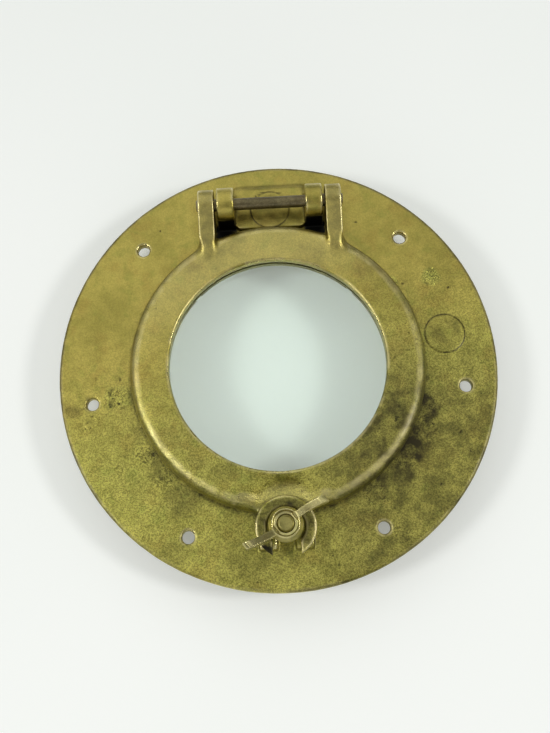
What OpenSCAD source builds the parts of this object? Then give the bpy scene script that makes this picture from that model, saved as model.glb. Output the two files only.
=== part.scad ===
// Opening round window of cast brass: a flanged frame with a spigot, a hinged glazed
// sash, and a swing-out dog with a wing nut that clamps the sash shut.
// Millimetres. Z = 0 is the flange's back face, +Z points out of the face, and the
// hinge is on the +Y side.

/* [Sash] */
// Radius of the clear opening in front of the glass
opening_r = 55.9; // [40:0.1:90]
// Width of the sash ring, from the opening to its outer edge
sash_width = 20.7; // [18:0.1:32]
// Height of the sash's front face above the flange
sash_h = 12; // [11.5:0.5:18]
// Radius of the sash's rounded outer edge
sash_edge_r = 4.5; // [1:0.5:6]
// Bevel around the front of the opening
lip_bevel = 0.7; // [0.2:0.1:1.5]
// Thickness of the lip in front of the glass
lip_t = 4.5; // [3:0.5:6]
// Gap between the closed sash and the flange
sash_gap = 0.5; // [0.4:0.1:1.5]
// Wall of the collar that reaches behind the sash around the glazing ring
collar_wall = 3.2; // [2:0.1:4.5]

/* [Glazing] */
// Thickness of the glass
glass_t = 5; // [3:0.5:8]
// How far the rebate for the glass reaches out behind the lip
glass_lap = 5.1; // [3:0.1:8]
// Thickness of the bedding in front of and around the glass
bedding_t = 0.7; // [0.4:0.1:1.5]
// Thickness of the threaded glazing ring behind the glass
glazing_ring_t = 3; // [2:0.5:5]
// Width of the glazing ring
glazing_ring_w = 4.2; // [3:0.1:6]
// Width of a spanner notch in the glazing ring
notch_w = 4; // [2:0.5:8]
// Width of the rubber gasket
gasket_w = 4; // [2.5:0.5:6]
// Depth of the gasket's groove
gasket_depth = 3; // [2:0.5:5]
// Middle of the gasket, measured in from the sash's outer edge
gasket_inset = 6.1; // [5:0.1:9]
// How far the gasket stands out of its groove
gasket_proud = 0.2; // [0.1:0.1:0.3]

/* [Frame] */
// Width of the flange outside the sash
flange_width = 38.4; // [34:0.1:60]
// Thickness of the flange
flange_t = 5; // [4:0.5:8]
// Bevel around the flange's front edge
flange_bevel = 0.8; // [0.2:0.1:2]
// How far the spigot's outside lies in from the sash's outer edge
spigot_inset = 1.6; // [0:0.1:4]
// Wall of the spigot
spigot_wall = 4; // [3:0.5:6]
// Length of the spigot behind the flange
spigot_len = 20; // [10:1:60]
// How far the seat reaches in from the spigot's inner wall
seat_reach = 5; // [3:0.5:5]

/* [Mounting holes] */
// Radius of a mounting hole
hole_r = 3.25; // [2:0.25:5]
// Middle of a mounting hole, measured in from the flange's edge
hole_inset = 16.5; // [8:0.5:20]
// Angle of the upper pair of holes from the hinge
upper_angle = 45; // [40:0.5:60]
// Angle of the middle pair of holes from the hinge
middle_angle = 98.5; // [80:0.5:110]
// Angle of the lower pair of holes from the hinge
lower_angle = 150; // [130:0.5:155]

/* [Hinge] */
// Hinge pin, measured out from the sash's outer edge
hinge_offset = 11.9; // [11:0.1:16]
// Height of the hinge pin above the flange
hinge_h = 12; // [11:0.5:16]
// Radius of the hinge pin
hinge_pin_r = 3.4; // [2:0.1:4.5]
// How far each peened end of the hinge pin stands out of its arm
hinge_pin_proud = 1.2; // [0.5:0.1:2]
// Clear width between the frame's two hinge lugs
lug_gap = 38; // [24:1:50]
// Width of a hinge lug
lug_w = 9.2; // [6:0.1:14]
// Radius of a hinge lug's rounded top
lug_r = 9; // [6.5:0.1:9.5]
// Gap between a hinge lug and the sash arm beside it
arm_gap = 1.4; // [0.4:0.1:3]
// Width of a sash arm
arm_w = 8.5; // [5:0.1:12]
// Radius of a sash arm's eye
arm_r = 8.3; // [6:0.1:9.5]
// Radius of the fillet where a sash arm meets the ring
arm_fillet_r = 9; // [3:0.5:12]
// Height of the saddle between the hinge lugs
saddle_h = 3; // [1:0.5:3.5]

/* [Dog] */
// Dog bolt's axis, measured out from the sash's outer edge
dog_offset = 6.6; // [5:0.1:9]
// Radius of the dog bolt's shank
bolt_r = 4.2; // [3:0.1:5]
// Height of the dog bolt's end above its pivot
bolt_len = 25; // [20:0.5:40]
// Height of the dog's pivot above the flange
pivot_h = 3; // [2.9:0.1:5]
// Radius of the dog's pivot pin
pivot_pin_r = 2; // [1.5:0.1:2.6]
// How far the dog bolt's barrel eye stands out around its shank
barrel_rim = 0.6; // [0.4:0.1:1.2]
// How much wider than the shank the barrel eye is
barrel_extra = 0; // [0:0.1:2]
// Gap beside the barrel eye on each side
barrel_gap = 0.4; // [0.2:0.1:1]
// Width of each of the frame's two dog ears
ear_w = 8.9; // [4:0.1:11]
// Height of the dog ears above the flange
ear_h = 5.8; // [5.5:0.1:8]
// Radius of the sash's forked boss
boss_r = 15.3; // [12:0.1:19]
// How far the boss's top lies below the sash's front face
boss_drop = 1; // [0.5:0.1:2]
// Radius of the seat for the wing nut in the boss
nut_seat_r = 9.8; // [8:0.1:11]
// Depth of the wing nut's seat
nut_seat_depth = 1.5; // [0.5:0.1:2]
// Gap between the boss and the dog ears under it
boss_gap = 0.3; // [0.3:0.1:1]
// Gap around the bolt in the boss's slot
slot_gap = 2.8; // [1:0.1:4]
// Radius of the cove that the boss stands in
cove_r = 17.3; // [15:0.1:20]
// How far the cove's middle lies in from the bolt's axis
cove_shift = 6.7; // [3:0.1:9]
// Depth of the cove below the sash's front face
cove_depth = 4; // [2:0.5:5]

/* [Wing nut] */
// Radius of the wing nut's foot
nut_foot_r = 8.6; // [7:0.1:10]
// Radius of the wing nut's top
nut_top_r = 7.3; // [6:0.1:9]
// Height of the wing nut's hub
nut_h = 9.6; // [7:0.1:14]
// How far the wing nut is backed off from its seat, so that the dog can swing out
nut_slack = 9.5; // [9.5:0.5:14]
// Radius of the hollow in the wing nut's top
nut_bowl_r = 6.4; // [5:0.1:7]
// Reach of each wing from the bolt's axis
wing_reach = 22; // [18:0.5:32]
// Thickness of a wing
wing_t = 3.4; // [1.5:0.1:4]
// Height of the wing tips above the hub's top
wing_rise = 7; // [3:0.5:14]
// Radius of each wing's curve, seen from the front
wing_curve_r = 60; // [45:1:120]
// Turn of the wings from the hinge's direction
wing_angle = 38; // [-45:1:45]

/* [Cast marks] */
// Radius of the two blank cast discs
disc_r = 10.2; // [6:0.1:14]
// Height of the blank cast discs
disc_h = 0.5; // [0.3:0.1:1]
// Angle of the flange's blank disc from the hinge, clockwise
flange_disc_angle = 81; // [75:1:84]
// Middle of the flange's blank disc, measured in from the flange's edge
flange_disc_inset = 25; // [14:0.5:30]

/* [Hidden] */
$fn = 160;
fine_fn = 64;

// How far a shape that is joined on reaches into its neighbour
sink = 1;
// How far inside a round end the straight sides that lead to it stop
bite = 0.15;
// How far a cutting shape runs past the surface that it opens
over = 1;
// Radial clearance of a pin that turns in its hole, and of one that is held fast
run_fit = 0.08;
hold_fit = 0.02;

// Radii from the opening outwards
sash_r = opening_r + sash_width;
flange_r = sash_r + flange_width;
spigot_r = sash_r - spigot_inset;
spigot_bore_r = spigot_r - spigot_wall;
seat_r = spigot_bore_r - seat_reach;
rebate_r = opening_r + glass_lap;
glass_r = rebate_r - bedding_t;
collar_r = rebate_r + collar_wall;
gasket_r = sash_r - gasket_inset;

// Heights from the flange's back face
face = flange_t;
sash_back = face + sash_gap;
sash_top = face + sash_h;
rebate_top = sash_top - lip_t;
glass_top = rebate_top - bedding_t;
glass_back = glass_top - glass_t;
collar_back = glass_back - glazing_ring_t;
gasket_top = sash_back + gasket_depth;

// Hinge
hinge_y = sash_r + hinge_offset;
hinge_z = face + hinge_h;
lug_x = lug_gap / 2;
arm_x = lug_x + lug_w + arm_gap;
arm_out = arm_x + arm_w;
// Where an arm starts on the sash: at the opening on top, and near the ring's edge behind
arm_root = [opening_r + 1.5, sash_top];
arm_root_low = rebate_top + 1;
arm_heel = [sash_r - 2, face + 3];

// Dog
dog_y = -(sash_r + dog_offset);
pivot_z = face + pivot_h;
barrel_r = bolt_r + barrel_rim;
barrel_w = 2 * bolt_r + barrel_extra;
boss_top = sash_top - boss_drop;
ear_top = face + ear_h;
boss_back = ear_top + boss_gap;
nut_seat = boss_top - nut_seat_depth;
slot_r = bolt_r + slot_gap;
ear_x = barrel_w / 2 + barrel_gap;
// Reach of the ears out from the dog bolt's axis, and their gap to the sash's edge
ear_reach = 10.8;
ear_gap = 1.6;
ear_inner = dog_offset - ear_gap;
ear_round = 2.5;
nut_z = nut_seat + nut_slack;
nut_top = nut_z + nut_h;
foot_bevel = 1.5;
bowl_depth = 2;
bolt_bevel = 0.8;
// Outline of a wing, seen from its side, in the wing nut's own heights
wing_root_x = nut_top_r - 2;
wing_root_low = 3.6;
wing_root_high = nut_h - 1;
wing_tip_round = 2.6;
wing_tip_x = wing_reach - wing_tip_round;
wing_tip_low = 5;
wing_tip_high = nut_h + wing_rise;
wing_tip_slope = 5;

// Length of the spigot's root that the flange's body keeps
root_len = 0.5;

// Saddle between the hinge lugs
saddle_front = sash_r + 1.4;
saddle_back = hinge_y + 14;
saddle_round = 4;

// Points of an arc in steps of about 7.5 degrees
function arc(x, y, r, from, to) =
    let(steps = ceil(abs(to - from) / 7.5))
    [for (i = [0:steps]) let(a = from + (to - from) * i / steps) [x + r * cos(a), y + r * sin(a)]];

// Where a line from point p touches a circle; side is 1 for the left and -1 for the right
function touch(p, c, r, side) =
    let(d = c - p, far = norm(d), a = atan2(d.y, d.x) + side * asin(r / far), reach = sqrt(far * far - r * r))
    p + reach * [cos(a), sin(a)];

// A square-cornered ring
module band(inner_r, outer_r, low, high) {
    rotate_extrude() translate([inner_r, low]) square([outer_r - inner_r, high - low]);
}

// A cylinder along X
module x_cylinder(r, low_x, high_x, y, z) {
    translate([low_x, y, z]) rotate([0, 90, 0]) cylinder(r = r, h = high_x - low_x, $fn = fine_fn);
}

// An outline drawn in Y and Z, given a thickness along X
module side_plate(low_x, high_x) {
    translate([low_x, 0, 0]) rotate([90, 0, 90]) linear_extrude(high_x - low_x) children();
}

module both_sides() {
    children();
    mirror([1, 0, 0]) children();
}

module mounting_holes() {
    for (angle = [upper_angle, middle_angle, lower_angle], side = [-1, 1])
        rotate(side * angle) translate([0, flange_r - hole_inset, -over])
            cylinder(r = hole_r, h = face + 2 * over, $fn = fine_fn);
}

// One of the two upright lugs that carry the hinge pin
module hinge_lug() {
    side_plate(lug_x, lug_x + lug_w) {
        translate([hinge_y, hinge_z]) circle(lug_r, $fn = fine_fn);
        translate([hinge_y - lug_r, face]) square([2 * lug_r, hinge_h]);
    }
}

// The low saddle that ties the lugs together, with rounded front corners
module saddle() {
    width = lug_gap + 2 * sink;
    translate([0, 0, face]) linear_extrude(saddle_h) {
        translate([-width / 2, saddle_front + saddle_round]) square([width, saddle_back - saddle_front - saddle_round]);
        translate([-lug_gap / 2 + saddle_round, saddle_front]) square([lug_gap - 2 * saddle_round, saddle_round + sink]);
        for (side = [-1, 1])
            translate([side * (lug_gap / 2 - saddle_round), saddle_front + saddle_round]) circle(saddle_round, $fn = fine_fn);
    }
}

// A bare round disc, cast slightly proud of the surface under it
module blank_disc(height) {
    cylinder(r = disc_r, h = height + disc_h, $fn = fine_fn);
}

// The block under the boss that the dog pivots in, before its slot is cut
module ear_block() {
    side_plate(-ear_x - ear_w, ear_x + ear_w) translate([dog_y - ear_reach, face]) {
        translate([ear_round, ear_h - ear_round]) circle(ear_round, $fn = fine_fn);
        square([ear_reach, ear_h - ear_round]);
        translate([ear_round, 0]) square([ear_reach + ear_inner - ear_round, ear_h]);
    }
}

// The frame is one casting, drawn as four bodies: the flange with the sash's seat and the
// spigot's root, the spigot behind it, the hinge lugs and the dog ears in front of it
module flange() color([0.66, 0.58, 0.28]) difference() {
    union() {
        rotate_extrude() polygon([
            [seat_r, 0], [spigot_bore_r, 0], [spigot_bore_r, -root_len], [spigot_r, -root_len], [spigot_r, 0],
            [flange_r, 0], [flange_r, face - flange_bevel], [flange_r - flange_bevel, face], [seat_r, face]]);
        rotate(-flange_disc_angle) translate([0, flange_r - flange_disc_inset, face - sink]) blank_disc(sink);
    }
    mounting_holes();
    x_cylinder(barrel_r + barrel_gap, -ear_x, ear_x, dog_y, pivot_z);
}

module spigot() color([0.62, 0.54, 0.26]) {
    band(spigot_bore_r, spigot_r, -spigot_len, -root_len);
}

module hinge_lugs() color([0.66, 0.58, 0.28]) difference() {
    union() {
        both_sides() hinge_lug();
        saddle();
        translate([0, hinge_y, face]) blank_disc(saddle_h);
    }
    x_cylinder(hinge_pin_r + run_fit, -arm_x, arm_x, hinge_y, hinge_z);
}

module dog_ears() color([0.66, 0.58, 0.28]) difference() {
    ear_block();
    translate([-ear_x, dog_y - ear_reach - over, face - over])
        cube([2 * ear_x, ear_reach + ear_inner + 2 * over, ear_h + 2 * over]);
    x_cylinder(pivot_pin_r + hold_fit, -ear_x - ear_w - over, ear_x + ear_w + over, dog_y, pivot_z);
}

// The sash ring's section, turned around the port's axis
module sash_ring() {
    rotate_extrude() polygon(concat(
        [[rebate_r, collar_back], [collar_r, collar_back], [collar_r, sash_back],
         [gasket_r - gasket_w / 2, sash_back], [gasket_r - gasket_w / 2, gasket_top],
         [gasket_r + gasket_w / 2, gasket_top], [gasket_r + gasket_w / 2, sash_back], [sash_r, sash_back]],
        arc(sash_r - sash_edge_r, sash_top - sash_edge_r, sash_edge_r, 0, 90),
        [[opening_r + lip_bevel, sash_top], [opening_r, sash_top - lip_bevel],
         [opening_r, rebate_top], [rebate_r, rebate_top]]));
}

// One of the two arms that reach from the ring to the hinge pin
module sash_arm() {
    eye = [hinge_y, hinge_z];
    side_plate(arm_x, arm_out) {
        translate(eye) circle(arm_r, $fn = fine_fn);
        polygon([eye, touch(arm_root, eye, arm_r - bite, 1), arm_root, [arm_root.x, arm_root_low],
                 [collar_r, arm_root_low], arm_heel, touch(arm_heel, eye, arm_r - bite, -1)]);
    }
}

// The fillet on an arm's outer side where it runs into the ring
module arm_fillet() {
    middle_x = arm_out + arm_fillet_r;
    middle_r = sash_r + arm_fillet_r;
    middle = [middle_x, sqrt(middle_r * middle_r - middle_x * middle_x)];
    foot = middle * (sash_r - sink) / middle_r;
    translate([0, 0, sash_back]) linear_extrude(sash_h - sash_gap - sash_edge_r + 2) difference() {
        polygon([[arm_out - sink, middle.y], middle, foot, [arm_out - sink, foot.y]]);
        translate(middle) circle(arm_fillet_r, $fn = fine_fn);
    }
}

// The hollow that is scooped out of the ring around the boss
module cove() {
    translate([0, dog_y + cove_shift, 0]) rotate_extrude() polygon(concat(
        [[0, sash_top - cove_depth]],
        arc(cove_r - cove_depth, sash_top, cove_depth, -90, 0),
        [[cove_r, sash_top + over], [0, sash_top + over]]));
}

module sash() color([0.68, 0.6, 0.3]) difference() {
    union() {
        difference() {
            union() {
                sash_ring();
                both_sides() sash_arm();
                both_sides() arm_fillet();
            }
            cove();
        }
        translate([0, dog_y, boss_back]) cylinder(r = boss_r, h = boss_top - boss_back);
    }
    translate([0, dog_y, nut_seat]) cylinder(r = nut_seat_r, h = nut_seat_depth + over);
    translate([0, dog_y, boss_back - over]) cylinder(r = slot_r, h = boss_top - boss_back + 2 * over, $fn = fine_fn);
    translate([-slot_r, dog_y - boss_r - over, boss_back - over])
        cube([2 * slot_r, boss_r + over, boss_top - boss_back + 2 * over]);
    x_cylinder(hinge_pin_r + hold_fit, -arm_out - over, arm_out + over, hinge_y, hinge_z);
}

module glass() color([0.78, 0.88, 0.84, 0.35]) {
    translate([0, 0, glass_back]) cylinder(r = glass_r, h = glass_t);
}

// Bedding compound: a flat bead under the lip and a thin wall around the glass
module bedding() color([0.3, 0.29, 0.26]) {
    rotate_extrude() polygon([
        [opening_r + 1, glass_top], [glass_r, glass_top], [glass_r, glass_back],
        [rebate_r, glass_back], [rebate_r, rebate_top], [opening_r + 1, rebate_top]]);
}

// Threaded ring behind the glass, with four notches for a spanner
module glazing_ring() color([0.62, 0.54, 0.27]) difference() {
    outer_r = rebate_r - hold_fit;
    inner_r = outer_r - glazing_ring_w;
    band(inner_r, outer_r, collar_back, glass_back);
    for (turn = [0:90:270])
        rotate(turn + 45) translate([inner_r - over, -notch_w / 2, collar_back - over])
            cube([glazing_ring_w / 2 + over, notch_w, glazing_ring_t / 2 + over]);
}

module gasket() color([0.12, 0.12, 0.12]) {
    band(gasket_r - gasket_w / 2, gasket_r + gasket_w / 2, sash_back - gasket_proud, gasket_top);
}

module hinge_pin() color([0.45, 0.4, 0.27]) {
    x_cylinder(hinge_pin_r, -arm_out - hinge_pin_proud, arm_out + hinge_pin_proud, hinge_y, hinge_z);
}

// The swing bolt: a shank on a barrel eye
module dog_bolt() color([0.6, 0.54, 0.3]) difference() {
    union() {
        x_cylinder(barrel_r, -barrel_w / 2, barrel_w / 2, dog_y, pivot_z);
        translate([0, dog_y, pivot_z]) {
            cylinder(r = bolt_r, h = bolt_len - bolt_bevel, $fn = fine_fn);
            translate([0, 0, bolt_len - bolt_bevel])
                cylinder(r1 = bolt_r, r2 = bolt_r - bolt_bevel, h = bolt_bevel, $fn = fine_fn);
        }
    }
    x_cylinder(pivot_pin_r + run_fit, -barrel_w, barrel_w, dog_y, pivot_z);
}

module dog_pivot_pin() color([0.5, 0.44, 0.27]) {
    x_cylinder(pivot_pin_r, -ear_x - ear_w, ear_x + ear_w, dog_y, pivot_z);
}

// The wing nut's round hub, turned around the bolt, with its hollow top
module nut_hub() {
    rotate_extrude() polygon([
        [0, 0], [nut_foot_r - foot_bevel, 0], [nut_foot_r, foot_bevel], [nut_foot_r, 2 * foot_bevel],
        [nut_top_r, nut_h - foot_bevel], [nut_top_r - 0.5, nut_h], [nut_bowl_r, nut_h],
        [nut_bowl_r - 0.6, nut_h - bowl_depth], [0, nut_h - bowl_depth]]);
}

// One wing: a curved blade that rises towards its tip
module nut_wing() {
    intersection() {
        translate([0, -wing_curve_r, 0]) linear_extrude(wing_tip_high + over) difference() {
            circle(wing_curve_r + wing_t / 2);
            circle(wing_curve_r - wing_t / 2);
        }
        rotate([90, 0, 0]) linear_extrude(wing_reach, center = true) polygon(concat(
            [[wing_root_x, wing_root_low], [wing_tip_x - wing_tip_slope, wing_tip_low]],
            arc(wing_tip_x, wing_tip_low + wing_tip_round, wing_tip_round, -60, 0),
            arc(wing_tip_x, wing_tip_high - wing_tip_round, wing_tip_round, 0, 130),
            [[wing_root_x, wing_root_high]]));
    }
}

module wing_nut() color([0.7, 0.62, 0.34]) translate([0, dog_y, nut_z]) rotate(wing_angle) difference() {
    union() {
        nut_hub();
        nut_wing();
        rotate(180) nut_wing();
    }
    translate([0, 0, -over]) cylinder(r = bolt_r + run_fit, h = nut_h + 2 * over, $fn = fine_fn);
}

flange();
spigot();
hinge_lugs();
dog_ears();
sash();
glass();
bedding();
glazing_ring();
gasket();
hinge_pin();
dog_bolt();
dog_pivot_pin();
wing_nut();
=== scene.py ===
"""Looks of the opening round window: cast brass frame and sash, glass, dog bolt and wing nut."""

import math

import bmesh
import bpy
import numpy as np
from mathutils import Matrix, Vector


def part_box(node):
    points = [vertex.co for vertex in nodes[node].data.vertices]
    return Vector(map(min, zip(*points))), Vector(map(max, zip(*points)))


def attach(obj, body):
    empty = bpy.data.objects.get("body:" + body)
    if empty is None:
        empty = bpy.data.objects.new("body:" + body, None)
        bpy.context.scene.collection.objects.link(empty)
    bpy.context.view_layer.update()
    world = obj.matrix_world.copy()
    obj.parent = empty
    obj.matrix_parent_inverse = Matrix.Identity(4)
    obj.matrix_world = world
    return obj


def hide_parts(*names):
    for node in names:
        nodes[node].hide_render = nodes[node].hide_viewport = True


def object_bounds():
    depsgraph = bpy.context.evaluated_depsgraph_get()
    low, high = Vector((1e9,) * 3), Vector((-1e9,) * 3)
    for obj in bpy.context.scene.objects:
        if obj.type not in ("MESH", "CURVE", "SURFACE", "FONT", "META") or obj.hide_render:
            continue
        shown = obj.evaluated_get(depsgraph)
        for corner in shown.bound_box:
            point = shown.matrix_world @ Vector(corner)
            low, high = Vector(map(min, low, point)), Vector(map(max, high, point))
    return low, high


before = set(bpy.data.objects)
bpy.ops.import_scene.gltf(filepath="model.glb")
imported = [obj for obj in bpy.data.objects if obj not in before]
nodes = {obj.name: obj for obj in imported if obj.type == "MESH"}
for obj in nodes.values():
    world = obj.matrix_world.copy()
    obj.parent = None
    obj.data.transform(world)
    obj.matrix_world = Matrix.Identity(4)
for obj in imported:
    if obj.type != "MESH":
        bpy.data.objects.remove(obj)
cad_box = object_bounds()

MM = 0.001


# ---------------------------------------------------------------- places taken from the model
def centre(low, high):
    return (low + high) / 2


sash_low, sash_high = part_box("sash")
pin_low, pin_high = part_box("hinge_pin")
bolt_low, bolt_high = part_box("dog_bolt")
nut_low, nut_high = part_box("wing_nut")

TABLE_Z = cad_box[0].z
FLANGE_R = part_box("flange")[1].x
FACE_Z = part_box("hinge_lugs")[0].z
SASH_R = sash_high.x
OPENING_R = 55.9 * MM
HINGE = centre(pin_low, pin_high)
PIVOT = centre(*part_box("dog_pivot_pin"))
BOLT_R = bolt_high.x


# ---------------------------------------------------------------- numpy noise, always the same
def hashed(ix, iy, iz, seed):
    n = (ix * 374761393 + iy * 668265263 + iz * 2147483647 + seed * 1274126177) & 0xFFFFFFFF
    n = ((n ^ (n >> 13)) * 1274126177) & 0xFFFFFFFF
    n = ((n ^ (n >> 16)) * 2246822519) & 0xFFFFFFFF
    return ((n ^ (n >> 15)) & 0xFFFFFF) / float(0xFFFFFF)


def noise(co, size, seed=0):
    """Smooth value noise from -1 to 1, with features about `size` metres wide."""
    p = co / size + 1000.0
    base = np.floor(p).astype(np.int64)
    f = p - base
    f = f * f * (3 - 2 * f)
    total = np.zeros(len(co))
    for dx in (0, 1):
        for dy in (0, 1):
            for dz in (0, 1):
                weight = (
                    (f[:, 0] if dx else 1 - f[:, 0])
                    * (f[:, 1] if dy else 1 - f[:, 1])
                    * (f[:, 2] if dz else 1 - f[:, 2])
                )
                total += weight * hashed(base[:, 0] + dx, base[:, 1] + dy, base[:, 2] + dz, seed)
    return 2 * total - 1


def cloud(co, size, octaves=3, seed=0):
    """Noise in several octaves, each half as wide and half as strong."""
    total, weight = np.zeros(len(co)), 0.0
    for i in range(octaves):
        total += noise(co, size / 2**i, seed + 17 * i) / 2**i
        weight += 1 / 2**i
    return total / weight


def step(low, high, x):
    """0 at low and 1 at high, with a smooth rise between them. low may be the larger one."""
    t = np.clip((x - low) / (high - low), 0, 1)
    return t * t * (3 - 2 * t)


# ---------------------------------------------------------------- mesh helpers
def coordinates(obj):
    co = np.empty(len(obj.data.vertices) * 3)
    obj.data.vertices.foreach_get("co", co)
    return co.reshape(-1, 3)


def set_coordinates(obj, co):
    obj.data.vertices.foreach_set("co", co.ravel())
    obj.data.update()


def normals(obj):
    out = np.empty(len(obj.data.vertices) * 3)
    obj.data.vertex_normals.foreach_get("vector", out)
    return out.reshape(-1, 3)


def set_attribute(obj, name, values):
    made = obj.data.attributes.get(name) or obj.data.attributes.new(name, "FLOAT", "POINT")
    made.data.foreach_set("value", values.astype(np.float32))


def new_object(name, verts, faces):
    mesh = bpy.data.meshes.new(name)
    mesh.from_pydata([tuple(v) for v in verts], [], [tuple(f) for f in faces])
    mesh.validate()
    obj = bpy.data.objects.new(name, mesh)
    bpy.context.scene.collection.objects.link(obj)
    return obj


def joined_copy(name, *node_names):
    """A new object with the welded meshes of these CAD nodes."""
    made = bmesh.new()
    for n in node_names:
        made.from_mesh(nodes[n].data)
    bmesh.ops.remove_doubles(made, verts=made.verts, dist=1e-6)
    mesh = bpy.data.meshes.new(name)
    made.to_mesh(mesh)
    made.free()
    mesh.materials.clear()
    obj = bpy.data.objects.new(name, mesh)
    bpy.context.scene.collection.objects.link(obj)
    return obj


def apply_modifiers(obj):
    """The object keeps the mesh that its modifiers make of it."""
    graph = bpy.context.evaluated_depsgraph_get()
    mesh = bpy.data.meshes.new_from_object(obj.evaluated_get(graph))
    old = obj.data
    obj.modifiers.clear()
    obj.data = mesh
    bpy.data.meshes.remove(old)


def remesh(obj, voxel):
    modifier = obj.modifiers.new("remesh", "REMESH")
    modifier.mode = "VOXEL"
    modifier.voxel_size = voxel
    modifier.use_smooth_shade = True
    apply_modifiers(obj)


def decimate(obj, limit):
    """Brings the mesh down to so many triangles."""
    count = sum(len(p.vertices) - 2 for p in obj.data.polygons)
    if count > limit:
        modifier = obj.modifiers.new("decimate", "DECIMATE")
        modifier.ratio = limit / count
        apply_modifiers(obj)


def smoothed(obj, values, rounds, weight=None):
    """The values after some rounds of averaging with their neighbours, where the weight is above 0."""
    count = len(obj.data.vertices)
    pairs = np.empty(len(obj.data.edges) * 2, np.int64)
    obj.data.edges.foreach_get("vertices", pairs)
    pairs = pairs.reshape(-1, 2)
    flat = values.ndim == 1
    out = values.reshape(count, -1).astype(float).copy()
    scale = np.full(count, 0.5) if weight is None else 0.5 * weight
    pairs = pairs[(scale[pairs] > 0).any(1)]
    used, pairs = np.unique(pairs, return_inverse=True)
    a, b = pairs.reshape(-1, 2).T
    part, pull, size = out[used], scale[used][:, None], len(used)
    degree = np.maximum(np.bincount(a, minlength=size) + np.bincount(b, minlength=size), 1)[:, None]
    for _ in range(rounds):
        total = [np.bincount(a, p[b], size) + np.bincount(b, p[a], size) for p in part.T]
        part += pull * (np.stack(total, 1) / degree - part)
    out[used] = part
    return out[:, 0] if flat else out


def smooth(obj, rounds, weight=None):
    """Rounds the edges by moving each point towards the middle of its neighbours."""
    set_coordinates(obj, smoothed(obj, coordinates(obj), rounds, weight))


def relief(obj, full):
    """How far each point stands out of (above 0) or lies in (below 0) its surroundings, in units of full."""
    co = coordinates(obj)
    away = np.einsum("ij,ij->i", co - smoothed(obj, co, 10), normals(obj))
    return smoothed(obj, away, 2) / full


def cast_surface(obj, amount, seed):
    """The slight waviness of a sand casting."""
    co, out = coordinates(obj), normals(obj)
    wave = 0.11 * MM * cloud(co, 0.014, 3, seed) + 0.04 * MM * cloud(co, 0.0035, 2, seed + 40)
    set_coordinates(obj, co + out * (amount * wave)[:, None])


def keep_in_box(obj, low, high):
    set_coordinates(obj, np.clip(coordinates(obj), np.array(low), np.array(high)))


# ---------------------------------------------------------------- materials
def srgb(r, g, b):
    """Linear colour of a display colour from 0 to 255."""
    shares = (r / 255, g / 255, b / 255)
    return tuple(c / 12.92 if c <= 0.04045 else ((c + 0.055) / 1.055) ** 2.4 for c in shares) + (1.0,)


def tinted(colour, *factors):
    return tuple(c * f for c, f in zip(colour, factors)) + (1.0,)


def add_node(tree, kind, inputs=None, **settings):
    """A new shader node. A socket or a plain value goes in as an input."""
    node = tree.nodes.new("ShaderNode" + kind)
    for key, value in settings.items():
        setattr(node, key, value)
    for key, value in (inputs or {}).items():
        if isinstance(value, bpy.types.NodeSocket):
            tree.links.new(value, node.inputs[key])
        else:
            node.inputs[key].default_value = value
    return node


class Nodes:
    """A short way to write a material's nodes."""

    def __init__(self, name):
        self.material = bpy.data.materials.new(name)
        self.material.use_nodes = True
        self.tree = self.material.node_tree
        self.tree.nodes.clear()

    def add(self, kind, inputs=None, **settings):
        return add_node(self.tree, kind, inputs, **settings)

    def math(self, operation, a, b=0.0, clamp=False):
        return self.add("Math", {0: a, 1: b}, operation=operation, use_clamp=clamp).outputs[0]

    def ramp(self, value, low, high, to_low=0.0, to_high=1.0):
        return self.add(
            "MapRange",
            {"Value": value, "From Min": low, "From Max": high, "To Min": to_low, "To Max": to_high},
            interpolation_type="SMOOTHSTEP",
        ).outputs["Result"]

    def mix(self, share, a, b):
        """Colour a, and as much of colour b as the share says."""
        return self.add("Mix", {0: share, 6: a, 7: b}, data_type="RGBA").outputs[2]

    def noise(self, where, size, detail=3.0, roughness=0.55):
        return self.add(
            "TexNoise",
            {"Vector": where, "Scale": 1 / size, "Detail": detail, "Roughness": roughness},
        ).outputs["Fac"]

    def attribute(self, name):
        return self.add("Attribute", attribute_name=name).outputs["Fac"]

    def finish(self, shader):
        self.add("OutputMaterial", {"Surface": shader})
        return self.material


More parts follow.
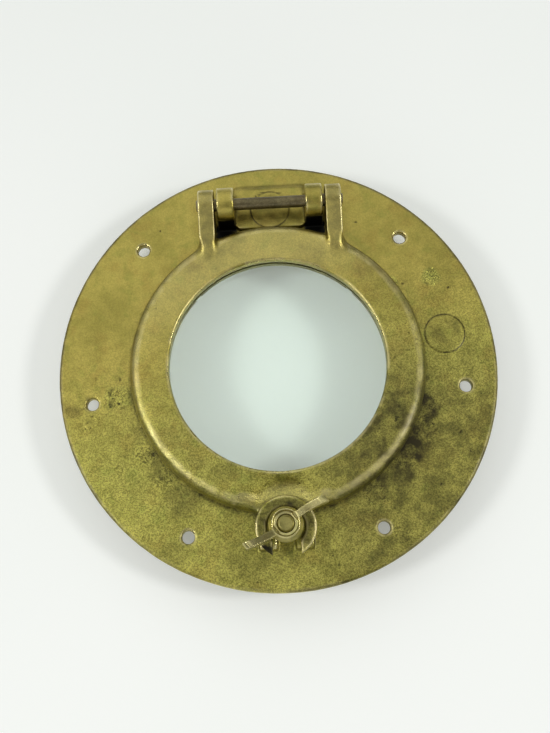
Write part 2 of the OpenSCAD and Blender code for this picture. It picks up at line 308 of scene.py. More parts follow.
def brass(name, light, deep, dark, rough=(0.3, 0.46), grain=1.0, painted=True, pits=1.0, bright=None):
    """Aged brass. light and deep are the metal's two tones, dark is its tarnish and painted shade, bright its
    worn edges and painted highlights.

    A painted piece has three attributes: one for dirt and painted shade, one for wear and painted highlights,
    and cast, which is how sandy its casting is.
    """
    n = Nodes(name)
    where = n.add("TexCoord").outputs["Object"]
    blotch = n.noise(where, 0.034, 4)
    mottle = n.noise(where, 0.007, 4, 0.6)
    fine = n.noise(where, 0.0012, 3, 0.7)
    grit = n.noise(where, 0.0006, 2, 0.6)
    if painted:
        dirt_and_shade, wear_and_highlight, cast = n.attribute("dirt_and_shade"), n.attribute("wear_and_highlight"), n.attribute("cast")
    else:
        dirt_and_shade, wear_and_highlight, cast = 0.0, 0.0, 0.6

    tone = n.math("ADD", n.math("MULTIPLY", blotch, 0.5), n.math("MULTIPLY", mottle, 0.5))
    colour = n.mix(n.ramp(tone, 0.36, 0.64), deep, light)
    brown = n.ramp(n.noise(where, 0.013, 4, 0.6), 0.48, 0.68, 0.0, 0.4)
    colour = n.mix(brown, colour, tinted(deep, 1.05, 0.86, 0.9))
    green = n.ramp(n.noise(where, 0.009, 3, 0.6), 0.54, 0.7, 0.0, 0.4)
    colour = n.mix(green, colour, tinted(deep, 0.78, 0.94, 0.85))
    olive = n.add("VectorMath", {0: colour, 1: (0.9, 1.01, 1.0)}, operation="MULTIPLY").outputs[0]
    colour = n.mix(n.ramp(cast, 0.3, 1.0, 0.0, 0.9), colour, olive)

    sand = n.math("ADD", n.math("MULTIPLY", fine, 0.55), n.math("MULTIPLY", grit, 0.45))
    rough_sand = n.math("SUBTRACT", n.ramp(sand, 0.36, 0.64, 0.55, 1.5), 1.0)
    share = n.math("ADD", n.math("MULTIPLY", cast, 0.8 * grain), 0.12 * grain)
    value = n.math("ADD", n.math("MULTIPLY", rough_sand, share), 1.0)
    colour = n.add("VectorMath", {0: colour, "Scale": value}, operation="SCALE").outputs[0]

    where_pits = n.ramp(n.noise(where, 0.02, 3, 0.6), 0.5, 0.62)
    pit = n.math("MULTIPLY", n.ramp(n.noise(where, 0.0022, 2, 0.5), 0.63, 0.72), where_pits)
    pit = n.math("MULTIPLY", pit, n.math("MULTIPLY", cast, pits))

    # Dirt and painted shade darken the colour, and above 1 turn it to painted black shade; wear and painted
    # highlights make it pale.
    grime_and_shade = n.math("MULTIPLY", dirt_and_shade, n.ramp(mottle, 0.3, 0.7, 1.3, 0.6), clamp=True)
    colour = n.mix(grime_and_shade, colour, dark)
    black_shade = n.ramp(dirt_and_shade, 1.0, 1.35)
    colour = n.mix(black_shade, colour, BLACK_SHADE)
    colour = n.mix(n.math("MULTIPLY", pit, 0.8, clamp=True), colour, tinted(dark, 0.4, 0.4, 0.4))
    colour = n.mix(n.math("MULTIPLY", wear_and_highlight, 0.85, clamp=True), colour, bright or light)

    roughness = n.ramp(mottle, 0.3, 0.7, rough[0], rough[1])
    roughness = n.math("ADD", roughness, n.math("MULTIPLY", grime_and_shade, 0.25))
    roughness = n.math("ADD", roughness, n.math("MULTIPLY", black_shade, 0.3))
    roughness = n.math("SUBTRACT", roughness, n.math("MULTIPLY", wear_and_highlight, 0.16), clamp=True)

    height = n.math("MULTIPLY", sand, n.math("ADD", n.math("MULTIPLY", cast, 0.8), 0.2))
    height = n.math("SUBTRACT", height, n.math("MULTIPLY", pit, 0.8))
    bump = n.add("Bump", {"Strength": 1.0, "Distance": 0.00028 * grain, "Height": height})
    shader = n.add(
        "BsdfPrincipled",
        {
            "Base Color": colour,
            "Metallic": 1.0,
            "Roughness": roughness,
            "Normal": bump.outputs[0],
            "Coat Weight": 0.35,
            "Coat Roughness": 0.3,
        },
    )
    return n.finish(shader.outputs[0])


def glass_material():
    """Clear float glass, faintly green, that lets the lamps through to what is behind it."""
    n = Nodes("clear_glass")
    where = n.add("TexCoord").outputs["Object"]
    smear = n.ramp(n.noise(where, 0.02, 5, 0.7), 0.35, 0.8, 0.0, 0.05)
    solid = n.add(
        "BsdfPrincipled",
        {
            "Base Color": (0.77, 0.82, 0.79, 1.0),
            "Roughness": smear,
            "IOR": 1.5,
            "Transmission Weight": 1.0,
        },
    )
    clear = n.add("BsdfTransparent", {"Color": (0.93, 0.98, 0.955, 1.0)})
    lamp = n.add("LightPath").outputs["Is Shadow Ray"]
    both = n.add("MixShader", {0: lamp, 1: solid.outputs[0], 2: clear.outputs[0]})
    return n.finish(both.outputs[0])


def plain(name, colour, other, size, rough):
    """A dull solid with two mottled tones and a fine bump."""
    n = Nodes(name)
    where = n.add("TexCoord").outputs["Object"]
    mottle = n.noise(where, size, 4, 0.6)
    fine = n.noise(where, size / 6, 3, 0.6)
    tone = n.mix(n.ramp(mottle, 0.35, 0.65), colour, other)
    bump = n.add("Bump", {"Strength": 1.0, "Distance": 0.04 * MM, "Height": fine})
    shader = n.add(
        "BsdfPrincipled",
        {
            "Base Color": tone,
            "Roughness": n.ramp(fine, 0.3, 0.7, rough - 0.08, rough + 0.08),
            "Normal": bump.outputs[0],
        },
    )
    return n.finish(shader.outputs[0])


# The tarnish colour below also paints shade, the sooty black paints black shade in the lug pockets and on the
# left prong, and the worn colour also paints the lamps' pale highlights.
GOLD = srgb(190, 174, 86)
OLIVE = srgb(160, 148, 68)
TARNISH_AND_SHADE = srgb(58, 52, 26)
BLACK_SHADE = srgb(14, 13, 9)
WORN_AND_HIGHLIGHT = srgb(234, 220, 158)

cast_brass = brass("cast_brass", GOLD, OLIVE, TARNISH_AND_SHADE, bright=WORN_AND_HIGHLIGHT)
polished_brass = brass(
    "polished_brass",
    srgb(212, 200, 136),
    srgb(174, 164, 102),
    TARNISH_AND_SHADE,
    rough=(0.26, 0.4),
    grain=0.5,
    pits=0.3,
    bright=WORN_AND_HIGHLIGHT,
)
turned_brass = brass(
    "turned_brass",
    srgb(164, 152, 88),
    srgb(122, 114, 58),
    TARNISH_AND_SHADE,
    rough=(0.3, 0.5),
    grain=0.5,
    pits=0.3,
    painted=False,
)
dark_brass = brass(
    "dark_brass",
    srgb(146, 131, 94),
    srgb(106, 95, 66),
    srgb(46, 42, 24),
    rough=(0.36, 0.56),
    grain=0.7,
    painted=False,
)
rubber = plain("black_rubber", srgb(30, 30, 30), srgb(44, 44, 43), 0.004, 0.7)
compound = plain("bedding_compound", srgb(74, 70, 60), srgb(96, 92, 80), 0.003, 0.75)
clear_glass = glass_material()


# ---------------------------------------------------------------- frame casting
def polar(co):
    """Radius from the window's axis, and angle from the hinge, clockwise seen from the front, in degrees."""
    return np.hypot(co[:, 0], co[:, 1]), np.degrees(np.arctan2(co[:, 0], co[:, 1]))


def blob(co, x, y, size, seed=5):
    """A ragged round patch, 1 in its middle, at x, y in millimetres."""
    away = np.hypot(co[:, 0] - x * MM, co[:, 1] - y * MM) / (size * MM)
    ragged = away * (1 + 0.35 * cloud(co, 0.006, 3, seed)) + 0.12 * noise(co, 0.0015, seed + 3)
    return step(1.0, 0.5, ragged)


def ring_mark(co, x, y, radius, width, part=None):
    """1 on a ring around x, y, in millimetres. part is the middle and the half width of an arc of it."""
    dx, dy = co[:, 0] - x * MM, co[:, 1] - y * MM
    line = step(width * MM, 0.0, np.abs(np.hypot(dx, dy) - radius * MM))
    if part is not None:
        turn = (np.degrees(np.arctan2(dy, dx)) - part[0] + 180) % 360 - 180
        line = line * step(part[1], part[1] * 0.6, np.abs(turn))
    return line


# Dark stains on the flange's face: x, y and size in millimetres, then strength
STAINS = [
    (74, -26, 13, 0.85),
    (66, -42, 16, 0.95),
    (57, -58, 15, 0.75),
    (84, -40, 10, 0.4),
    (60, -88, 10, 0.5),
    (44, -76, 13, 0.4),
    (92, -14, 8, 0.3),
    (-52, -66, 13, 0.35),
    (-62, -50, 9, 0.45),
    (-108, -18, 5, 0.5),
    (28, -98, 12, 0.3),
    (-24, -98, 10, 0.25),
]

# Places where the sand has left a coarse, pitted crust: x, y and size in millimetres, then strength
CRUST = [
    (76, -25, 9, 1.7),
    (74, -36, 10, 1.5),
    (62, -52, 9, 1.6),
    (46, -68, 10, 1.5),
    (-70, -42, 9, 1.6),
    (-60, -56, 10, 1.4),
    (-84, -12, 9, 1.3),
    (62, 44, 6, 1.2),
    (84, 46, 7, 1.2),
    (58, -90, 8, 1.4),
]

# Single deep pits in the face: x and y in millimetres, then size
PITS = [
    (69, 43.1, 0.9),
    (93.3, 39.5, 0.8),
    (77.1, 9.1, 0.9),
    (92.5, -38.2, 0.8),
    (79.6, -65.1, 1.2),
    (-83, -1.9, 1.2),
    (-83.6, -14.8, 1.0),
    (-66.4, -42.5, 1.3),
    (-47.4, -88, 0.8),
    (46.5, 79.8, 0.7),
    (-60.3, 80.3, 0.7),
    (16, -100, 0.8),
]

# The blank cast discs: x and y of their middles, and their radius
DISCS = [(88.9 * MM, 14.1 * MM), (0.0, HINGE.y)]
DISC_R = 10.2 * MM
# Where the lugs start and end in X, and where they start in Y: in front of them goes painted black shade
LUG_X = (19 * MM, 29.6 * MM)
LUG_Y = HINGE.y - 9 * MM


def lug_pocket(co, top):
    """1 in the two pockets between the sash and the lugs, up to a height: where painted black shade goes."""
    x = np.abs(co[:, 0])
    across = step(LUG_X[0] - 0.0012, LUG_X[0] + 0.0004, x) * step(LUG_X[1] + 0.0004, LUG_X[1] - 0.0002, x)
    along = step(0.063, 0.068, co[:, 1]) * step(LUG_Y + 0.0035, LUG_Y + 0.0015, co[:, 1])
    height = step(top + 0.001, top - 0.001, co[:, 2]) * (co[:, 2] > FACE_Z - 0.0003)
    return across * along * height


def shade_side(co):
    """Painted shade on the side of both castings at the lower right, which the lamps light less."""
    return 0.52 * step(-0.005, 0.05, co[:, 0]) * step(0.03, -0.035, co[:, 1])


def paint_frame(obj):
    co = coordinates(obj)
    r, angle = polar(co)
    above_face = co[:, 2] > FACE_Z - 0.001
    bump = relief(obj, 0.2 * MM)
    wear_and_highlight = step(0.35, 1.2, bump) * step(0.2, 0.5, 0.5 + cloud(co, 0.01, 3, 3))
    # Dirt and painted shade in the crevices, painted shade on the face around the sash's foot, and lighter
    # painted shade under the sash.
    crevice = step(0.3, 1.3, -bump)
    foot = step(SASH_R + 0.0022, SASH_R + 0.0004, r) * above_face
    seat = (r < SASH_R + 0.0002) * above_face * (co[:, 2] < FACE_Z + 0.002)
    dirt_and_shade = np.maximum(0.7 * crevice, 0.8 * foot) * (1 - seat) + 0.3 * seat
    near = step(SASH_R + 0.011, SASH_R, r) * (1 - seat) * step(-0.2, 0.4, cloud(co, 0.007, 3, 71))
    near = near * step(0.03, -0.02, co[:, 1])
    on_face = step(FACE_Z - 0.0008, FACE_Z - 0.0001, co[:, 2])
    on_face = on_face * step(FACE_Z + 0.002, FACE_Z + 0.0008, co[:, 2])
    dirt_and_shade = np.maximum(dirt_and_shade, 0.5 * near * on_face)
    for x, y, size, strength in STAINS:
        dirt_and_shade = np.maximum(dirt_and_shade, strength * on_face * blob(co, x, y, size, int(x) + 120))
    lower = step(0.03, -0.06, co[:, 1] - 0.5 * co[:, 0]) * on_face
    dirt_and_shade = np.maximum(dirt_and_shade, 0.28 * lower * step(0.0, 0.7, cloud(co, 0.02, 4, 8)))
    # Painted shade along the rim of each blank disc, and blotchy dirt inside it.
    for x, y in DISCS:
        rim = ring_mark(co, x / MM, y / MM, DISC_R / MM + 0.3, 0.7)
        dirt_and_shade = np.maximum(dirt_and_shade, rim * above_face)
        inside = step(DISC_R, DISC_R - 0.002, np.hypot(co[:, 0] - x, co[:, 1] - y))
        dirt_and_shade = np.maximum(dirt_and_shade, inside * above_face * (0.08 + 0.3 * step(-0.2, 0.5, cloud(co, 0.005, 3, 19))))
    for x, y, size in PITS:
        away = np.hypot(co[:, 0] - x * MM, co[:, 1] - y * MM) * (1 + 0.7 * noise(co, 0.001, 7))
        dirt_and_shade = np.maximum(dirt_and_shade, 0.95 * step(size * MM, 0.3 * size * MM, away) * on_face)
    behind = step(0.0015, 0.0005, co[:, 2])
    dirt_and_shade = np.maximum(dirt_and_shade, behind * (0.35 + 0.35 * step(-0.3, 0.5, cloud(co, 0.02, 4, 12))))
    # Dirt and painted shade on the saddle between the lugs, under the pin, and less wear there.
    saddle = (np.abs(co[:, 0]) < LUG_X[0] + 0.001) * step(HINGE.z - 0.006, FACE_Z + 0.004, co[:, 2])
    saddle = saddle * step(SASH_R, SASH_R + 0.001, co[:, 1]) * step(0.098, 0.09, co[:, 1])
    dirt_and_shade = np.maximum(dirt_and_shade, 0.3 * saddle * step(-0.3, 0.6, cloud(co, 0.006, 3, 17)))
    wear_and_highlight = wear_and_highlight * (1 - 0.7 * saddle)
    # Painted black shade in the pockets in front of the lugs.
    pocket = lug_pocket(co, HINGE.z)
    dirt_and_shade = np.maximum(dirt_and_shade, 1.4 * pocket)
    # Painted shade on the flange's edge all round but the lower left, and less wear on the whole edge.
    rim = step(FLANGE_R - 0.0022, FLANGE_R - 0.0008, r) * step(FACE_Z - 0.0016, FACE_Z - 0.0006, co[:, 2])
    dirt_and_shade = np.maximum(dirt_and_shade, 0.65 * rim * step(-160, -120, angle))
    wear_and_highlight = wear_and_highlight * (1 - 0.8 * rim)
    cast = np.clip(0.15 + 0.9 * step(0.06, -0.05, co[:, 1] - 0.25 * co[:, 0]), 0, 1)
    cast = np.maximum(cast, behind)
    for x, y, size, strength in CRUST:
        cast = np.maximum(cast, strength * on_face * blob(co, x, y, size, int(x) + 200))
        grains = step(0.1, 0.5, cloud(co, 0.0022, 2, int(x) + 240))
        dirt_and_shade = np.maximum(dirt_and_shade, 0.8 * grains * on_face * blob(co, x, y, size, int(x) + 200))
    dirt_and_shade = np.maximum(dirt_and_shade, shade_side(co))
    set_attribute(obj, "wear_and_highlight", np.clip(wear_and_highlight * (1 - pocket), 0, 1))
    set_attribute(obj, "dirt_and_shade", np.clip(dirt_and_shade, 0, 1.4))
    set_attribute(obj, "cast", cast)


def make_frame():
    obj = joined_copy("frame_casting", "flange", "spigot", "hinge_lugs", "dog_ears")
    remesh(obj, 0.56 * MM)
    smooth(obj, 5)
    cast_surface(obj, 1.0, 1)
    co, out = coordinates(obj), normals(obj)
    face = step(0.7, 0.95, out[:, 2])
    for x, y, size in PITS:
        away = np.hypot(co[:, 0] - x * MM, co[:, 1] - y * MM)
        co -= out * (0.0003 * step(size * MM, 0, away) * face)[:, None]
    mark = ring_mark(co, -98, -24, 3.2, 0.9) + ring_mark(co, 1.4, -105.3, 3.4, 1.0, (80, 70))
    set_coordinates(obj, co + out * (0.0002 * mark * face)[:, None])
    co = coordinates(obj)
    back = step(0.0085, 0.0065, np.abs(co[:, 1] - 0.1025)) * step(0.0225, 0.0185, np.abs(co[:, 0]))
    smooth(obj, 90, back * step(FACE_Z - 0.001, FACE_Z - 0.0002, co[:, 2]) * (co[:, 2] < HINGE.z - 0.005))
    decimate(obj, 186000)
    paint_frame(obj)
    keep_in_box(obj, cad_box[0], cad_box[1])
    obj.data.shade_smooth()
    obj.data.materials.append(cast_brass)
    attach(obj, "frame")
    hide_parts("flange", "spigot", "hinge_lugs", "dog_ears")
    return obj


# ---------------------------------------------------------------- sash casting
# The hollow in the ring around the wing nut, and the middles of the two hinge arms in X
COVE = (0.0, PIVOT.y + 6.7 * MM)
COVE_R = 17.3 * MM
ARM_X = 33.85 * MM


def arm_or_boss(co):
    """1 on the hinge arms and on the forked boss, which keep their sharper edges."""
    arm = step(0.0068, 0.0052, np.abs(np.abs(co[:, 0]) - ARM_X)) * step(0.05, 0.056, co[:, 1])
    boss = step(0.0172, 0.0158, np.hypot(co[:, 0], co[:, 1] - PIVOT.y))
    return np.maximum(arm, boss)


def paint_sash(obj):
    co, up = coordinates(obj), normals(obj)
    r = polar(co)[0]
    bump = relief(obj, 0.18 * MM)
    wear_and_highlight = step(0.25, 1.1, bump) * step(0.1, 0.45, 0.5 + cloud(co, 0.009, 3, 23))
    # Dirt and painted shade in the crevices, and painted shade near the foot of the outer wall and on the
    # outer wall.
    crevice = step(0.3, 1.2, -bump)
    foot = step(FACE_Z + 0.0035, FACE_Z + 0.001, co[:, 2]) * (r > SASH_R - 0.002)
    dirt_and_shade = np.maximum(0.7 * crevice, 0.75 * foot)
    dirt_and_shade = np.maximum(dirt_and_shade, 0.3 * step(SASH_R - 0.0034, SASH_R - 0.0018, r))
    # Wear on the ring's outer rounding, which also paints the lamps' pale highlight there.
    edge = step(0.999, 0.985, up[:, 2]) * step(0.7, 0.88, up[:, 2]) * (co[:, 2] > FACE_Z + 0.006)
    edge = edge * step(SASH_R - 0.009, SASH_R - 0.007, r) * (r < SASH_R + 0.0005) * (1 - arm_or_boss(co))
    wear_and_highlight = np.maximum(wear_and_highlight, 0.5 * edge * step(-1.1, 0.7, cloud(co, 0.004, 3, 47)))
    top = step(0.8, 0.98, up[:, 2])
    dirt_and_shade = np.maximum(dirt_and_shade, 0.35 * top * step(0.05, 0.7, cloud(co, 0.018, 4, 27)))
    lower = step(0.02, -0.05, co[:, 1] - 0.5 * co[:, 0])
    dirt_and_shade = np.maximum(dirt_and_shade, 0.4 * lower * top * step(0.0, 0.6, cloud(co, 0.01, 4, 31)))
    behind = step(FACE_Z + 0.0008, FACE_Z + 0.0002, co[:, 2])
    dirt_and_shade = np.maximum(dirt_and_shade, behind * (0.3 + 0.3 * step(-0.3, 0.5, cloud(co, 0.02, 4, 33))))
    from_dog = np.hypot(co[:, 0], co[:, 1] - PIVOT.y)
    # Painted light on the slopes of the hollow around the wing nut, in place of most of their wear.
    hollow = step(COVE_R, COVE_R - 0.004, np.hypot(co[:, 0] - COVE[0], co[:, 1] - COVE[1]))
    hollow = hollow * (co[:, 2] > FACE_Z + 0.006) * (from_dog > 0.0155)
    wear_and_highlight = np.maximum(wear_and_highlight * (1 - 0.6 * hollow), 0.22 * hollow)
    # Painted shade and dirt in the seat under the wing nut.
    seat = step(0.0146, 0.0138, from_dog) * (co[:, 2] > FACE_Z + 0.003)
    dirt_and_shade = np.maximum(dirt_and_shade, seat * (0.45 + 0.4 * step(-0.2, 0.5, cloud(co, 0.006, 3, 37))))
    dirt_and_shade = np.maximum(dirt_and_shade, 1.35 * shade_side(co))
    # Painted light on the top faces towards the upper left, which the lamps light more.
    wear_and_highlight = np.maximum(wear_and_highlight, 0.2 * top * step(0.02, 0.06, co[:, 1] - 0.3 * co[:, 0]))
    # Painted black shadow of the wing nut's wing on the end of the left prong.
    prong = step(-0.0066, -0.0074, co[:, 0]) * step(-0.0905, -0.0925, co[:, 1])
    prong = prong * (co[:, 2] > FACE_Z + 0.003)
    dirt_and_shade = np.maximum(dirt_and_shade, 1.2 * prong)
    wear_and_highlight = wear_and_highlight * (1 - prong)
    # Painted black shade low on the sash, in the pockets in front of the lugs.
    pocket = lug_pocket(co, FACE_Z + 0.0085) * (co[:, 2] > FACE_Z + 0.0009)
    dirt_and_shade = np.maximum(dirt_and_shade, 1.4 * pocket)
    set_attribute(obj, "wear_and_highlight", np.clip(wear_and_highlight * (1 - pocket), 0, 1))
    set_attribute(obj, "dirt_and_shade", np.clip(dirt_and_shade, 0, 1.4))
    set_attribute(obj, "cast", np.clip(0.35 + 0.6 * step(0.05, -0.05, co[:, 1] - 0.3 * co[:, 0]), 0, 1))


def make_sash():
    obj = joined_copy("sash_casting", "sash")
    remesh(obj, 0.45 * MM)
    smooth(obj, 4)
    co = coordinates(obj)
    high = step(FACE_Z + 0.003, FACE_Z + 0.006, co[:, 2])
    root = step(0.0125, 0.006, np.hypot(np.abs(co[:, 0]) - ARM_X, co[:, 1] - 0.0585))
    smooth(obj, 90, root * high)
    co = coordinates(obj)
    r = np.hypot(co[:, 0], co[:, 1])
    outer = step(SASH_R - 0.012, SASH_R - 0.0075, r) * step(SASH_R + 0.002, SASH_R + 0.0005, r)
    smooth(obj, 130, outer * step(FACE_Z + 0.0012, FACE_Z + 0.004, co[:, 2]) * (1 - arm_or_boss(co)))
    co = coordinates(obj)
    rim = step(0.0085, 0.0045, np.abs(np.hypot(co[:, 0] - COVE[0], co[:, 1] - COVE[1]) - COVE_R - 0.0002))
    clear = step(0.0157, 0.0172, np.hypot(co[:, 0], co[:, 1] - PIVOT.y))
    clear = clear * step(OPENING_R + 0.0012, OPENING_R + 0.004, np.hypot(co[:, 0], co[:, 1]))
    smooth(obj, 260, rim * high * clear)
    cast_surface(obj, 0.8, 3)
    decimate(obj, 170000)
    paint_sash(obj)
    keep_in_box(obj, sash_low, sash_high)
    obj.data.shade_smooth()
    obj.data.materials.append(cast_brass)
    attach(obj, "sash")
    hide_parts("sash")
    return obj


# ---------------------------------------------------------------- turned pieces
def turned(name, rows, around, place):
    """A closed skin from rings of points. Each row is a ring's place along the axis, and its radii."""
    verts, faces = [], []
    turn = np.linspace(0, 2 * math.pi, around, endpoint=False)
    for along, radii in rows:
        for t, r in zip(turn, np.broadcast_to(radii, (around,))):
            verts.append(place(along, r * math.cos(t), r * math.sin(t)))
    for i in range(len(rows) - 1):
        for j in range(around):
            k = (j + 1) % around
            faces.append((i * around + j, i * around + k, (i + 1) * around + k, (i + 1) * around + j))
    faces.append(tuple(reversed(range(around))))
    faces.append(tuple((len(rows) - 1) * around + j for j in range(around)))
    obj = new_object(name, verts, faces)
    made = bmesh.new()
    made.from_mesh(obj.data)
    bmesh.ops.recalc_face_normals(made, faces=made.faces)
    made.to_mesh(obj.data)
    made.free()
    return obj


def make_hinge_pin():
    """The pin with rounded, peened ends, dented between the lugs."""
    around = 72
    radius = (pin_high.z - pin_low.z) / 2
    half = pin_high.x
    lip = 0.0009
    rows = []
    turn = np.linspace(0, 2 * math.pi, around, endpoint=False)
    places = np.concatenate(
        [
            -half + lip * (1 - np.cos(np.linspace(0, math.pi / 2, 7))),
            np.linspace(-half + lip, half - lip, 180)[1:-1],
            half - lip * (1 - np.cos(np.linspace(math.pi / 2, 0, 7))),
        ]
    )
    for x in places:
        end = half - abs(x)
        r = radius * (1 - 0.18 * max(0.0, 1 - end / lip) ** 2)
        ring = np.stack([np.full(around, x), np.cos(turn) * radius, np.sin(turn) * radius], 1)
        dents = 0.00013 * cloud(ring, 0.004, 3, 51) + 0.00006 * noise(ring, 0.0012, 57)
        open_part = step(0.0195, 0.0185, np.array([abs(x)]))[0]
        radii = r - 0.00008 + dents * (0.25 + 0.75 * open_part) - 0.00012 * open_part
        rows.append((x, radii))
    obj = turned("hinge_rod", rows, around, lambda a, b, c: (a, HINGE.y + b, HINGE.z + c))
    keep_in_box(obj, pin_low, pin_high)
    obj.data.shade_smooth()
    obj.data.materials.append(dark_brass)
    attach(obj, "sash")
    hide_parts("hinge_pin")
    return obj


def make_dog_bolt():
    """The threaded swing bolt on its barrel eye."""
    pitch, depth = 1.25 * MM, 0.62 * MM
    start, end = PIVOT.z + 0.004, bolt_high.z
    around = 96
    turn = np.linspace(0, 2 * math.pi, around, endpoint=False)
    rows = [(PIVOT.z - 0.0005, np.full(around, BOLT_R - 0.0001))]
    for z in np.arange(PIVOT.z, end + 1e-9, 0.00016):
        phase = (z / pitch - turn / (2 * math.pi)) % 1.0
        thread = depth * np.abs(2 * phase - 1)
        fade = step(start, start + 0.0015, np.array([z]))[0]
        tip = max(0.0, z - (end - 0.0008))
        rows.append((z, BOLT_R - 0.00005 - thread * fade - tip * 0.9))
    shank = turned("dog_shank", rows, around, lambda a, b, c: (b, PIVOT.y + c, a))
    eye = joined_copy("dog_eye", "dog_bolt")
    keep = bmesh.new()
    keep.from_mesh(eye.data)
    cut = bmesh.ops.bisect_plane(
        keep,
        geom=keep.verts[:] + keep.edges[:] + keep.faces[:],
        plane_co=(0, 0, PIVOT.z + 0.0056),
        plane_no=(0, 0, 1),
        clear_outer=True,
    )
    rim = [e for e in cut["geom_cut"] if isinstance(e, bmesh.types.BMEdge)]
    bmesh.ops.contextual_create(keep, geom=rim)
    keep.from_mesh(shank.data)
    keep.to_mesh(eye.data)
    keep.free()
    bpy.data.objects.remove(shank)
    remesh(eye, 0.14 * MM)
    smooth(eye, 1)
    decimate(eye, 90000)
    keep_in_box(eye, bolt_low, bolt_high)
    eye.name = "dog_screw"
    eye.data.shade_smooth()
    eye.data.materials.append(turned_brass)
    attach(eye, "dog")
    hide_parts("dog_bolt")
    return eye


def make_wing_nut():
    obj = joined_copy("wing_nut_casting", "wing_nut")
    remesh(obj, 0.22 * MM)
    smooth(obj, 5)
    cast_surface(obj, 0.5, 7)
    decimate(obj, 90000)
    co, up = coordinates(obj), normals(obj)
    bump = relief(obj, 0.1 * MM)
    wear_and_highlight = step(0.2, 1.0, bump) * step(0.0, 0.4, 0.5 + cloud(co, 0.006, 3, 63))
    # Painted highlight on the upward faces.
    wear_and_highlight = np.maximum(wear_and_highlight, 0.5 * step(0.6, 0.95, up[:, 2]) * step(-0.2, 0.5, cloud(co, 0.004, 3, 65)))
    # Dirt and painted shade in the crevices, and painted shade on the downward faces.
    crevice = step(0.3, 1.2, -bump)
    under = step(0.1, -0.5, up[:, 2])
    set_attribute(obj, "wear_and_highlight", np.clip(wear_and_highlight, 0, 1))
    set_attribute(obj, "dirt_and_shade", np.clip(np.maximum(0.6 * crevice, 0.4 * under), 0, 1))
    set_attribute(obj, "cast", np.full(len(co), 0.5))
    keep_in_box(obj, nut_low, nut_high)
    obj.data.shade_smooth()
    obj.data.materials.append(polished_brass)
    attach(obj, "wing_nut")
    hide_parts("wing_nut")
    return obj


def dress(node_name, material):
    """A CAD node that stays as it is gets its material."""
    obj = nodes[node_name]
    obj.data.materials.clear()
    obj.data.materials.append(material)
    obj.data.shade_smooth()


make_frame()
make_sash()
make_hinge_pin()
make_dog_bolt()
make_wing_nut()
dress("glass", clear_glass)
dress("bedding", compound)
dress("glazing_ring", turned_brass)
dress("gasket", rubber)
dress("dog_pivot_pin", dark_brass)


# ---------------------------------------------------------------- floor, light and camera
def make_floor():
    """A pale table. It glows faintly, which lightens the shadows on it, and more far away, so that its end
    doesn't show against the backdrop.
    """
    n = Nodes("table")
    where = n.add("TexCoord").outputs["Object"]
    tone = n.mix(n.ramp(n.noise(where, 0.35, 2), 0.3, 0.7), (0.80, 0.82, 0.79, 1), (0.83, 0.84, 0.815, 1))
    away = n.add("VectorMath", {0: where}, operation="LENGTH").outputs["Value"]
    glow = n.ramp(away, 0.5, 3.0, 0.24, 0.46)
    shader = n.add(
        "BsdfPrincipled",
        {
            "Base Color": tone,
            "Roughness": 0.7,
            "Specular IOR Level": 0.2,
            "Emission Color": (0.97, 1.0, 0.98, 1),
            "Emission Strength": glow,
        },
    )
    z = TABLE_Z - 0.0001
    reach = 6.0
    obj = new_object(
        "table_top",
        [(-reach, -reach, z), (reach, -reach, z), (reach, reach, z), (-reach, reach, z)],
        [(0, 1, 2, 3)],
    )
    obj.data.materials.append(n.finish(shader.outputs[0]))


def towards(azimuth, elevation):
    """The direction at these angles in degrees, the azimuth from +X and the elevation from the table."""
    a, e = math.radians(azimuth), math.radians(elevation)
    return Vector((math.cos(e) * math.cos(a), math.cos(e) * math.sin(a), math.sin(e)))


def area_light(name, azimuth, elevation, distance, size, power):
    data = bpy.data.lights.new(name, "AREA")
    data.shape = "DISK"
    data.size = size
    data.energy = power
    obj = bpy.data.objects.new(name, data)
    place = towards(azimuth, elevation) * distance
    obj.location = place
    obj.rotation_euler = (-place).to_track_quat("-Z", "Y").to_euler()
    bpy.context.scene.collection.objects.link(obj)


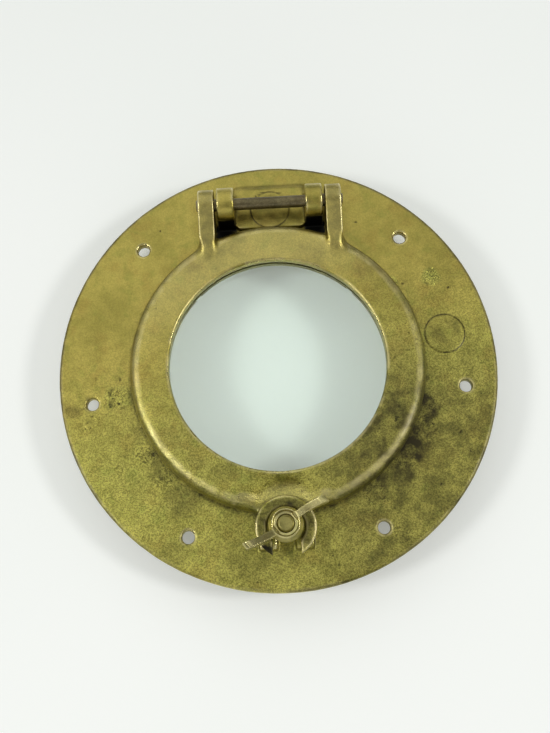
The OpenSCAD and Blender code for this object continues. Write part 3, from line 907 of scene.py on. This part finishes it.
def make_light():
    """Two small lamps for the highlights left and right, a weak front one, and a pale room above."""
    area_light("left", 192, 47, 1.3, 0.3, 4.0)
    area_light("right", -8, 47, 1.3, 0.26, 4.3)
    area_light("front", 262, 30, 1.4, 0.9, 1.6)
    world = bpy.data.worlds.new("studio")
    world.use_nodes = True
    tree = world.node_tree
    tree.nodes.clear()
    place = add_node(tree, "TexCoord").outputs["Generated"]
    bright = tuple(towards(110, 53))
    facing = add_node(tree, "VectorMath", {0: place, 1: bright}, operation="DOT_PRODUCT").outputs["Value"]
    glow = add_node(
        tree,
        "MapRange",
        {"Value": facing, "From Min": 0.66, "From Max": 0.97, "To Min": 0.24, "To Max": 0.9},
        interpolation_type="SMOOTHSTEP",
    ).outputs["Result"]
    room = add_node(tree, "Background", {"Color": (0.98, 1.0, 0.97, 1), "Strength": glow})
    backdrop = add_node(tree, "Background", {"Color": (0.75, 0.77, 0.75, 1), "Strength": 1.0})
    seen = add_node(tree, "LightPath").outputs["Is Camera Ray"]
    both = add_node(tree, "MixShader", {0: seen, 1: room.outputs[0], 2: backdrop.outputs[0]})
    add_node(tree, "OutputWorld", {"Surface": both.outputs[0]})
    bpy.context.scene.world = world


def make_camera():
    """Seen from above the dog's side, as in the photograph."""
    data = bpy.data.cameras.new("camera")
    data.sensor_fit = "HORIZONTAL"
    data.sensor_width = 36.0
    data.lens = 60.5
    data.clip_start = 0.01
    camera = bpy.data.objects.new("camera", data)
    backwards = Vector((0.0027, -0.2551, 0.9669)).normalized()
    up = Vector((0.0548, 0.9655, 0.2546))
    right = up.cross(backwards).normalized()
    up = backwards.cross(right)
    turn = Matrix((right, up, backwards)).transposed()
    place = Vector((-0.00017, -0.1229, FACE_Z + 0.4688))
    camera.matrix_world = (
        Matrix.Rotation(math.radians(0.2), 4, "Z") @ Matrix.Translation(place) @ turn.to_4x4()
    )
    bpy.context.scene.collection.objects.link(camera)
    bpy.context.scene.camera = camera


make_floor()
make_light()
make_camera()
bpy.context.scene.view_settings.view_transform = "Standard"
